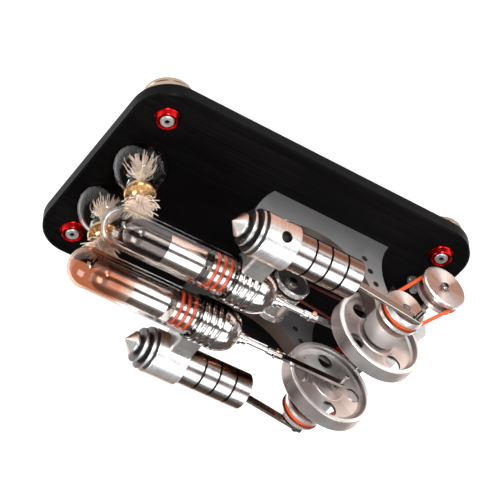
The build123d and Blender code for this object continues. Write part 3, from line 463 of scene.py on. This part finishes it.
# The edges: painted shade, with a bright painted highlight at the foot of the arch and a mid tone round
# the boss.
arch_foot_highlight = plate.math(
    "MULTIPLY",
    plate.spread(height, 1.0, 0.0, 0.022, 0.034),
    plate.spread(along, 1.0, 0.0, 0.024, 0.032),
)
edge_shade_and_highlight = plate.mix(arch_foot_highlight, (0.075, 0.05, 0.04), (0.90, 0.88, 0.87))
boss = plate.spread(plate.radius(CRANK_CENTRE, "Y"), 1.0, 0.0, BOSS_R, BOSS_R + 0.0007)
edge_shade_and_highlight = plate.mix(boss, edge_shade_and_highlight, (0.46, 0.43, 0.42))
flat = plate.square_to("Y")
plate.colour(plate.mix(plate.spread(flat, 0.0, 1.0, 0.6, 0.8), edge_shade_and_highlight, broad_face_reflection))
for name in ("upright_a", "upright_b"):
    finish_node(name, plate)

block = metal("polished_block", (0.50, 0.49, 0.485), 0.2, streak=(30, 900, 900))
for name in ("pedestals", "generator_bracket"):
    finish_node(name, block)
bridge = metal("satin_block", (0.44, 0.43, 0.42), 0.28, streak=(30, 900, 900))
bridge.set("Metallic", 0.75)
finish_node("transfer_blocks", bridge)

# ------------------------------------------------------------------ wheels and pulleys
RIM_INSIDE_R, RIM_FACE_R = 0.0212, 0.0222
wheel = metal("turned_wheel", (0.64, 0.625, 0.615), 0.34, axis="Y")
wheel.set("Metallic", 0.72)
facing = wheel.square_to("Y")
rolling = wheel.spread(facing, 1.0, 0.0, 0.35, 0.6)
outer = wheel.spread(wheel.radius(CRANK_CENTRE, "Y"), 0.0, 1.0, RIM_FACE_R, RIM_FACE_R + 0.0004)
# Painted reflection on the faces: tone bands by angle round the axis with pale painted highlight
# wedges; the outer ring face takes a plain lighter tone.
painted_reflection_tone = wheel.spread(wheel.highlight_fan(CRANK_CENTRE, "Y", 2.2), 0.82, 1.12, 0.3, 0.7)
web_reflection = wheel.times(wheel.dial(CRANK_CENTRE, WHEEL_REFLECTION_DIAL), painted_reflection_tone)
side_tone = wheel.mix(outer, web_reflection, (0.84, 0.79, 0.77))
# Painted shade: round surfaces inside the rim, the hub and the hole walls, are near-black; the rolling
# rim has painted reflection bands.
inner = wheel.spread(wheel.radius(CRANK_CENTRE, "Y"), 0.0, 1.0, RIM_INSIDE_R, RIM_INSIDE_R + 0.0006)
rim_reflection_and_shade = wheel.mix(inner, (0.09, 0.08, 0.078), wheel.round_y(WHEEL_RIM_REFLECTIONS))
wheel.colour(wheel.mix(rolling, side_tone, rim_reflection_and_shade))
wheel.bump(wheel.rings(CRANK_CENTRE, "Y", 0.0006), 0.000006, 0.5)
for side in "ab":
    finish_node(f"flywheel_{side}", wheel)


SHAFT_R = 0.0020


def faced_disc(name, node):
    """Bright satin rims; faces square to Y are a darker rose with painted reflection bands, a few pale
    painted highlight wedges and painted shade at the shaft hole.
    """
    middle = middle_of(node)
    centre = (middle.x, 0, middle.z)
    made = metal(name, (0.86, 0.80, 0.78), 0.24, axis="Y")
    made.set("Metallic", 0.7)
    rim = made.tone()
    painted_reflection_tone = made.spread(made.highlight_fan(centre, "Y", 2.4), 0.85, 1.1, 0.3, 0.7)
    face = made.times(made.dial(centre, DISC_REFLECTION_DIAL), painted_reflection_tone)
    # Painted shade: inside the shaft's radius the face is near-black.
    hole_shade = made.spread(made.radius(centre, "Y"), 0.0, 1.0, SHAFT_R, SHAFT_R + 0.0005)
    face = made.mix(hole_shade, (0.02, 0.017, 0.016), face)
    square = made.square_to("Y")
    made.colour(made.mix(made.spread(square, 0.0, 1.0, 0.82, 0.97), rim, face))
    made.bump(made.rings(centre, "Y", 0.0005), 0.000004, 0.4)
    return made


for node in ("crank_pulley_a", "crank_pulley_b", "drive_pulleys", "middle_pulley"):
    finish_node(node, faced_disc(f"disc_{node}", node))

# Painted reflection: faces square to Y take a dark grey tone, the rims keep the bright one.
small = metal("small_wheel", (0.88, 0.86, 0.85), 0.2, face_reflection=(0.22, 0.21, 0.205), axis="Y")
small.set("Metallic", 0.75)
finish_node("generator_pulley", small)

# ------------------------------------------------------------------ cylinders and displacers
ALONG_X = (2500, 40, 40)
BARREL_SKIN_R, HEAD_SKIN_R = 0.0095, 0.0113
CONE_START_X = -0.034
for side in "ab":
    bore = middle_of(f"barrel_{side}")
    centre = (0, bore.y, bore.z)
    for part, bands, skin, polish in (
        ("barrel", BARREL_REFLECTION_BANDS, BARREL_SKIN_R, 0.22),
        ("cylinder_head", HEAD_REFLECTION_BANDS, HEAD_SKIN_R, 0.3),
    ):
        name = f"{part}_steel_{side}"
        steel = metal(name, (0.86, 0.86, 0.865), polish, streak=ALONG_X, bands=bands)
        # Painted shade: surfaces sunk below the outer skin, in grooves and holes, are near-black.
        outside = steel.spread(steel.radius(centre, "X"), 0.0, 1.0, skin - 0.0002, skin + 0.0001)
        grain_and_reflection_bands = steel.tone()
        if part == "cylinder_head":
            # On the head the cone is spared, and faces square to X are painted near-black too, as
            # painted shade.
            lengthwise = steel.part_of("Object", "X")
            stepped = steel.spread(lengthwise, 1.0, 0.0, CONE_START_X, CONE_START_X + 0.0005)
            outside = steel.math("MAXIMUM", outside, stepped)
            endwise = steel.square_to("X")
            outside = steel.math("MULTIPLY", outside, steel.spread(endwise, 1.0, 0.0, 0.86, 0.96))
            steel.set("Metallic", 0.8)
        steel.colour(steel.mix(outside, (0.05, 0.045, 0.042), grain_and_reflection_bands))
        finish_node(f"{part}_{side}", steel)

# Coolers, displacer caps and hot cans carry bands of painted reflection round X.
fin = metal("cooler_aluminium", (0.80, 0.79, 0.785), 0.13, streak=ALONG_X, bands=PALE_REFLECTION_BANDS)
cold = metal("displacer_aluminium", (0.90, 0.89, 0.885), 0.15, streak=ALONG_X, bands=PALE_REFLECTION_BANDS)
HOT_CANS = {
    "a": ((0.30, 0.27, 0.26), 1.0, MIRROR_REFLECTION_BANDS),
    "b": ((0.92, 0.90, 0.88), 0.6, AMBER_REFLECTION_BANDS),
}
rod = metal("rod_steel", (0.70, 0.68, 0.66), 0.13, streak=ALONG_X)
# Con rods and links: faces square to Y take a darker painted reflection tone.
bar = metal("bar_steel", (0.62, 0.57, 0.54), 0.24, face_reflection=DUSK, streak=(40, 900, 900))
link_bar = metal("link_steel", (0.70, 0.68, 0.66), 0.2, face_reflection=(0.20, 0.185, 0.18), streak=(40, 900, 900))
bearing = metal("bearing_steel", (0.60, 0.59, 0.58), 0.18)
graphite = Surface("piston_graphite", (0.06, 0.06, 0.062), 0.4, 0.38)
graphite.bump(graphite.noise((2500, 60, 60)), 0.00002, 0.5)
for side in "ab":
    finish_node(f"cooler_{side}", fin)
    finish_node(f"displacer_cap_{side}", cold)
    hot_colour, hot_metallic, hot_bands = HOT_CANS[side]
    hot = metal(f"hot_can_{side}", hot_colour, 0.08, bands=hot_bands)
    hot.set("Metallic", hot_metallic)
    finish_node(f"displacer_can_{side}", hot)
    finish_node(f"displacer_rod_{side}", rod)
    finish_node(f"con_rod_{side}", bar)
    finish_node(f"link_{side}", link_bar)
    finish_node(f"piston_{side}", graphite)
finish_node("crank_bearings", bearing)
spindle = metal("shaft_steel", (0.70, 0.68, 0.66), 0.13)
lit = spindle.tone()
# Painted shade: the shaft's end faces beyond SHAFT_TIP_Y are near-black.
outboard = spindle.math("ABSOLUTE", spindle.part_of("Object", "Y"), 0.0)
endwise = spindle.square_to("Y")
SHAFT_TIP_Y = 0.040
past = spindle.spread(outboard, 0.0, 1.0, SHAFT_TIP_Y, SHAFT_TIP_Y + 0.001)
tip_shade = spindle.math("MULTIPLY", past, endwise)
spindle.colour(spindle.mix(tip_shade, lit, (0.02, 0.017, 0.016)))
for name in ("layshaft", "crankshaft_a", "crankshaft_b"):
    finish_node(name, spindle)
finish_node("generator_shaft", rod)

shell = metal("motor_shell", (0.86, 0.84, 0.83), 0.14, streak=(40, 1500, 1500))
shell.set("Metallic", 0.88)
finish_node("generator_can", shell)


# ------------------------------------------------------------------ glass, rubber, brass, cotton
def glass(name, colour, dust):
    """Clear glass with a little unevenness."""
    made = Surface(name, colour, 0.0, 0.0, Transmission_Weight=1.0, IOR=1.45)
    made.rough(made.spread(made.noise((90, 90, 90), 3.0), 0.0, dust, 0.45, 0.8))
    return made


CLEAR_GLASS = (0.97, 0.95, 0.93)
REFLECTION_FADE = 0.012
# Painted warm reflection: toward the hot end each tube's glass takes a brownish tint, faded in along X.
for side, clear_to, end_reflection_tint in (
    ("a", -0.086, (0.84, 0.75, 0.69)),
    ("b", -0.061, (0.60, 0.34, 0.235)),
):
    tube = glass(f"tube_glass_{side}", CLEAR_GLASS, 0.02)
    tube.set("IOR", 1.16)
    tube.set("Coat Weight", 0.5)
    warm_end_reflection = tube.spread(tube.part_of("Object", "X"), 1.0, 0.0, clear_to - REFLECTION_FADE, clear_to)
    tube.colour(tube.mix(warm_end_reflection, CLEAR_GLASS, end_reflection_tint))
    finish_node(f"hot_cap_{side}", tube)
globe = glass("globe_glass", (0.83, 0.81, 0.79), 0.01)
globe.set("IOR", 1.12)
globe.set("Coat Weight", 0.22)
globe.bump(globe.noise((60, 60, 60), 2.0), 0.0003, 0.25)
finish_node("lamp_glass_a", globe)
finish_node("lamp_glass_b", globe)

seal = Surface("red_seal", (0.56, 0.06, 0.012), 0.0, 0.34)
finish_node("o_rings", seal)

belt = Surface("orange_belt", (0.80, 0.13, 0.012), 0.0, 0.42, Subsurface_Weight=0.08)
belt.set("Subsurface Radius", (0.002, 0.0006, 0.0002))
specks = belt.noise((900, 900, 900), 4.0)
belt.set("Specular IOR Level", 0.3)
belt.colour(belt.mix(belt.spread(specks, 0.0, 1.0), (0.56, 0.055, 0.005), (0.76, 0.10, 0.010)))
belt.bump(specks, 0.00006, 0.5)
for name in ("belt_a", "belt_b"):
    finish_node(name, belt)
cord = Surface("thin_belt", (0.06, 0.006, 0.003), 0.0, 0.5, Specular_IOR_Level=0.25)
cord.bump(cord.noise((900, 900, 900), 4.0), 0.00006, 0.5)
finish_node("generator_belt", cord)

brass = metal("brass", (0.70, 0.44, 0.21), 0.24, streak=(60, 60, 1800))
brass.set("Metallic", 0.92)
finish_node("lamp_collars", brass)

lens = glass("clear_lens", (0.90, 0.88, 0.86), 0.06)
lens.set("Transmission Weight", 0.85)
finish_node("led_lens", lens)

cotton = Surface("cotton", (0.88, 0.80, 0.66), 0.0, 0.9, Sheen_Weight=0.3)
fibre = cotton.noise((700, 700, 2200), 4.0)
tone = cotton.mix(cotton.spread(fibre, 0.0, 1.0), (0.80, 0.56, 0.42), (1.0, 0.93, 0.82))
shade = cotton.spread(cotton.noise((420, 420, 420), 2.0), 0.7, 1.0, 0.3, 0.5)
cotton.colour(cotton.times(tone, shade))
cotton.bump(fibre, 0.0002, 0.8)

# ------------------------------------------------------------------ lamp wicks
# Lengths in metres, leans in degrees from the lamp's axis: lowest, highest, likeliest.
TUFT_STRANDS, TAIL_STRANDS = 150, 125
TUFT_LENGTH, TAIL_LENGTH = (0.008, 0.0145), (0.009, 0.0165)
TUFT_LEAN, TAIL_LEAN = (4, 66, 42), (2, 44, 24)
TUFT_ROOT_R, TAIL_ROOT_R = 0.0019, 0.0016
TUFT_REACH, TAIL_REACH = 0.0118, 0.0098
STRAND_R = (0.00025, 0.00040)
TAIL_DROP = 0.0125
TWIST_STRANDS, TWIST_POINTS, TWIST_TURN = 7, 15, 4.0
TWIST_R, TWIST_STRAND_R, TWIST_TOP, TWIST_DROP = 0.0014, 0.0007, 0.0012, 0.016
STRAND_SIDES, STRAND_PIECES = 5, 8


def strand(points, radius, verts, faces):
    """A thin tapered fibre of five sides along these points."""
    first = len(verts)
    sides = STRAND_SIDES
    for i, point in enumerate(points):
        ahead = points[min(i + 1, len(points) - 1)] - points[max(i - 1, 0)]
        across = ahead.orthogonal().normalized()
        other = ahead.cross(across).normalized()
        size = radius * (1.0 - 0.45 * i / (len(points) - 1))
        for k in range(sides):
            a = 2 * math.pi * k / sides
            verts.append(point + (across * math.cos(a) + other * math.sin(a)) * size)
    for i in range(len(points) - 1):
        for k in range(sides):
            n = (k + 1) % sides
            low, high = first + i * sides, first + (i + 1) * sides
            faces.append((low + k, low + n, high + n, high + k))
    last = first + (len(points) - 1) * sides
    faces.append(tuple(last + k for k in range(sides)))
    faces.append(tuple(first + k for k in reversed(range(sides))))


def frayed(rng, root, direction, lean, length, top_r):
    """The points of one fibre that springs from the twist and leans outwards as it goes."""
    heading = rng.uniform(0, 2 * math.pi)
    start = Vector((math.cos(heading), math.sin(heading), 0))
    aside = Vector((-start.y, start.x, 0)) * rng.uniform(-0.5, 0.5)
    sway = rng.uniform(-0.55, 0.55)
    curl = rng.uniform(3.5, 7.0)
    points = [root + start * rng.uniform(0.0, top_r)]
    for i in range(STRAND_PIECES):
        t = (i + 0.5) / STRAND_PIECES
        angle = lean * min(1.0, 0.35 + 1.1 * t) + sway * math.sin(curl * t)
        step = (start + aside).normalized() * math.sin(angle) + direction * math.cos(angle)
        points.append(points[-1] + step * length / STRAND_PIECES)
    return points


def kept_within(points, middle, reach, low, high):
    """Whether every point is inside an upright cylinder."""
    return all(
        math.hypot(p.x - middle.x, p.y - middle.y) < reach and low < p.z < high for p in points
    )


for side, seed in (("a", 3), ("b", 8)):
    middle = middle_of(f"lamp_wick_{side}")
    wick_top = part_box(f"lamp_wick_{side}")[1].z
    collar_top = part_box("lamp_collars")[1].z
    glass_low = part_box(f"lamp_glass_{side}")[0].z
    rng = random.Random(seed)
    centre = Vector((middle.x, middle.y, 0))
    tuft_root = centre + Vector((0, 0, collar_top - 0.0006))
    tail_root = centre + Vector((0, 0, collar_top - TAIL_DROP))
    verts, faces = [], []
    made = 0
    while made < TUFT_STRANDS:
        lean = math.radians(rng.triangular(*TUFT_LEAN))
        points = frayed(rng, tuft_root, UP, lean, rng.uniform(*TUFT_LENGTH), TUFT_ROOT_R)
        if kept_within(points, centre, TUFT_REACH, tuft_root.z - 0.001, wick_top + 0.0006):
            strand(points, rng.uniform(*STRAND_R), verts, faces)
            made += 1
    made = 0
    while made < TAIL_STRANDS:
        lean = math.radians(rng.triangular(*TAIL_LEAN))
        points = frayed(rng, tail_root, -UP, lean, rng.uniform(*TAIL_LENGTH), TAIL_ROOT_R)
        if kept_within(points, centre, TAIL_REACH, glass_low + 0.002, tail_root.z + 0.001):
            strand(points, rng.uniform(*STRAND_R), verts, faces)
            made += 1
    for k in range(TWIST_STRANDS):
        twist = []
        for i in range(TWIST_POINTS):
            t = i / (TWIST_POINTS - 1)
            angle = 2 * math.pi * k / TWIST_STRANDS + TWIST_TURN * t
            z = collar_top + TWIST_TOP - TWIST_DROP * t
            twist.append(centre + Vector((math.cos(angle) * TWIST_R, math.sin(angle) * TWIST_R, z)))
        strand(twist, TWIST_STRAND_R, verts, faces)
    mesh = bpy.data.meshes.new(f"wick_{side}")
    mesh.from_pydata(verts, [], faces)
    mesh.polygons.foreach_set("use_smooth", [True] * len(mesh.polygons))
    mesh.materials.append(cotton.material)
    wick = bpy.data.objects.new(f"wick_{side}", mesh)
    bpy.context.scene.collection.objects.link(wick)
    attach(wick, "frame")
    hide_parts(f"lamp_wick_{side}")

# ------------------------------------------------------------------ floor, light and camera
floor_mesh = bpy.data.meshes.new("floor")
FLOOR_REACH, FLOOR_GAP = 3.0, 0.0002
corners = [(x * FLOOR_REACH, y * FLOOR_REACH) for x, y in ((-1, -1), (1, -1), (1, 1), (-1, 1))]
floor_mesh.from_pydata([(x, y, cad_bounds[0].z - FLOOR_GAP) for x, y in corners], [], [(0, 1, 2, 3)])
floor = bpy.data.objects.new("floor", floor_mesh)
bpy.context.scene.collection.objects.link(floor)
paper = Surface("floor_white", (0.93, 0.93, 0.93), 0.0, 0.8, Specular_IOR_Level=0.1)
# The floor glows, painted light: pale round the middle, fading to dark brown further out, a painted
# pool of light.
from_middle = paper.node("VectorMath")
from_middle.operation = "LENGTH"
paper.link(paper.place(), from_middle.inputs[0])
far = paper.spread(from_middle.outputs["Value"], 0.0, 1.0, 0.3, 1.1)
glowing_light_pool = paper.mix(far, (0.80, 0.80, 0.80), (0.32, 0.27, 0.24))
paper.colour(glowing_light_pool)
paper.link(glowing_light_pool, paper.shader.inputs["Emission Color"])
paper.set("Emission Strength", 0.62)
floor_mesh.materials.append(paper.material)


def softbox(name, at, towards, width, height, power):
    """A rectangular area light aimed at a point."""
    data = bpy.data.lights.new(name, "AREA")
    data.shape = "RECTANGLE"
    data.size, data.size_y = width, height
    data.energy = power
    made = bpy.data.objects.new(name, data)
    made.location = at
    made.rotation_mode = "QUATERNION"
    made.rotation_quaternion = (Vector(at) - Vector(towards)).to_track_quat("Z", "Y")
    bpy.context.scene.collection.objects.link(made)


middle = (cad_bounds[0] + cad_bounds[1]) / 2
softbox("top", (0.43, 0.07, 1.05), middle, 0.8, 0.8, 4.5)
softbox("side", (0.40, 0.88, 0.50), middle, 0.85, 0.55, 3.4)
softbox("key", (-0.8, -0.3, 1.0), middle, 0.7, 0.7, 15)
softbox("front", (-0.5, 0.8, 0.45), middle, 0.3, 0.3, 2)

sun_data = bpy.data.lights.new("sun", "SUN")
sun_data.energy = 1.9
sun_data.angle = 0.2
sun = bpy.data.objects.new("sun", sun_data)
sun.rotation_mode = "QUATERNION"
sun.rotation_quaternion = Vector((-0.35, 1.0, 0.9)).to_track_quat("Z", "Y")
bpy.context.scene.collection.objects.link(sun)

world = bpy.data.worlds.new("studio")
bpy.context.scene.world = world
world.use_nodes = True
sky = world.node_tree
background = sky.nodes["Background"]
coords = sky.nodes.new("ShaderNodeTexCoord")
parts = sky.nodes.new("ShaderNodeSeparateXYZ")
ramp = sky.nodes.new("ShaderNodeValToRGB")
sky.links.new(coords.outputs["Generated"], parts.inputs["Vector"])
sky.links.new(parts.outputs["Z"], ramp.inputs["Fac"])
sky.links.new(ramp.outputs["Color"], background.inputs["Color"])
stops = ramp.color_ramp.elements
stops[0].position, stops[0].color = 0.0, (0.10, 0.066, 0.05, 1)
stops[1].position, stops[1].color = 1.0, (0.30, 0.30, 0.30, 1)
for at, tone in ((0.35, (0.15, 0.11, 0.09)), (0.7, (0.10, 0.09, 0.085))):
    stops.new(at).color = (*tone, 1)
background.inputs["Strength"].default_value = 1.0

AZIMUTH, ELEVATION, ROLL = (math.radians(v) for v in (214.55, 46.13, 179.26))
DISTANCE = 1.0528
AIM_HEIGHT, AIM_RIGHT, AIM_UP = 0.020, 0.00407, 0.00221
back = Vector(
    (
        math.sin(AZIMUTH) * math.cos(ELEVATION),
        -math.cos(AZIMUTH) * math.cos(ELEVATION),
        math.sin(ELEVATION),
    )
)
right = UP.cross(back).normalized()
up = back.cross(right)
camera_data = bpy.data.cameras.new("camera")
camera_data.sensor_width = 36.0
camera_data.lens = 148.7
camera_data.clip_start, camera_data.clip_end = 0.05, 20.0
camera = bpy.data.objects.new("camera", camera_data)
bpy.context.scene.collection.objects.link(camera)
side_axis = right * math.cos(ROLL) + up * math.sin(ROLL)
top_axis = up * math.cos(ROLL) - right * math.sin(ROLL)
turn = Matrix((side_axis, top_axis, back)).transposed()
aim = Vector((0, 0, AIM_HEIGHT)) + right * AIM_RIGHT + up * AIM_UP
camera.matrix_world = Matrix.Translation(aim + back * DISTANCE) @ turn.to_4x4()
bpy.context.scene.camera = camera
bpy.context.scene.view_settings.view_transform = "Standard"
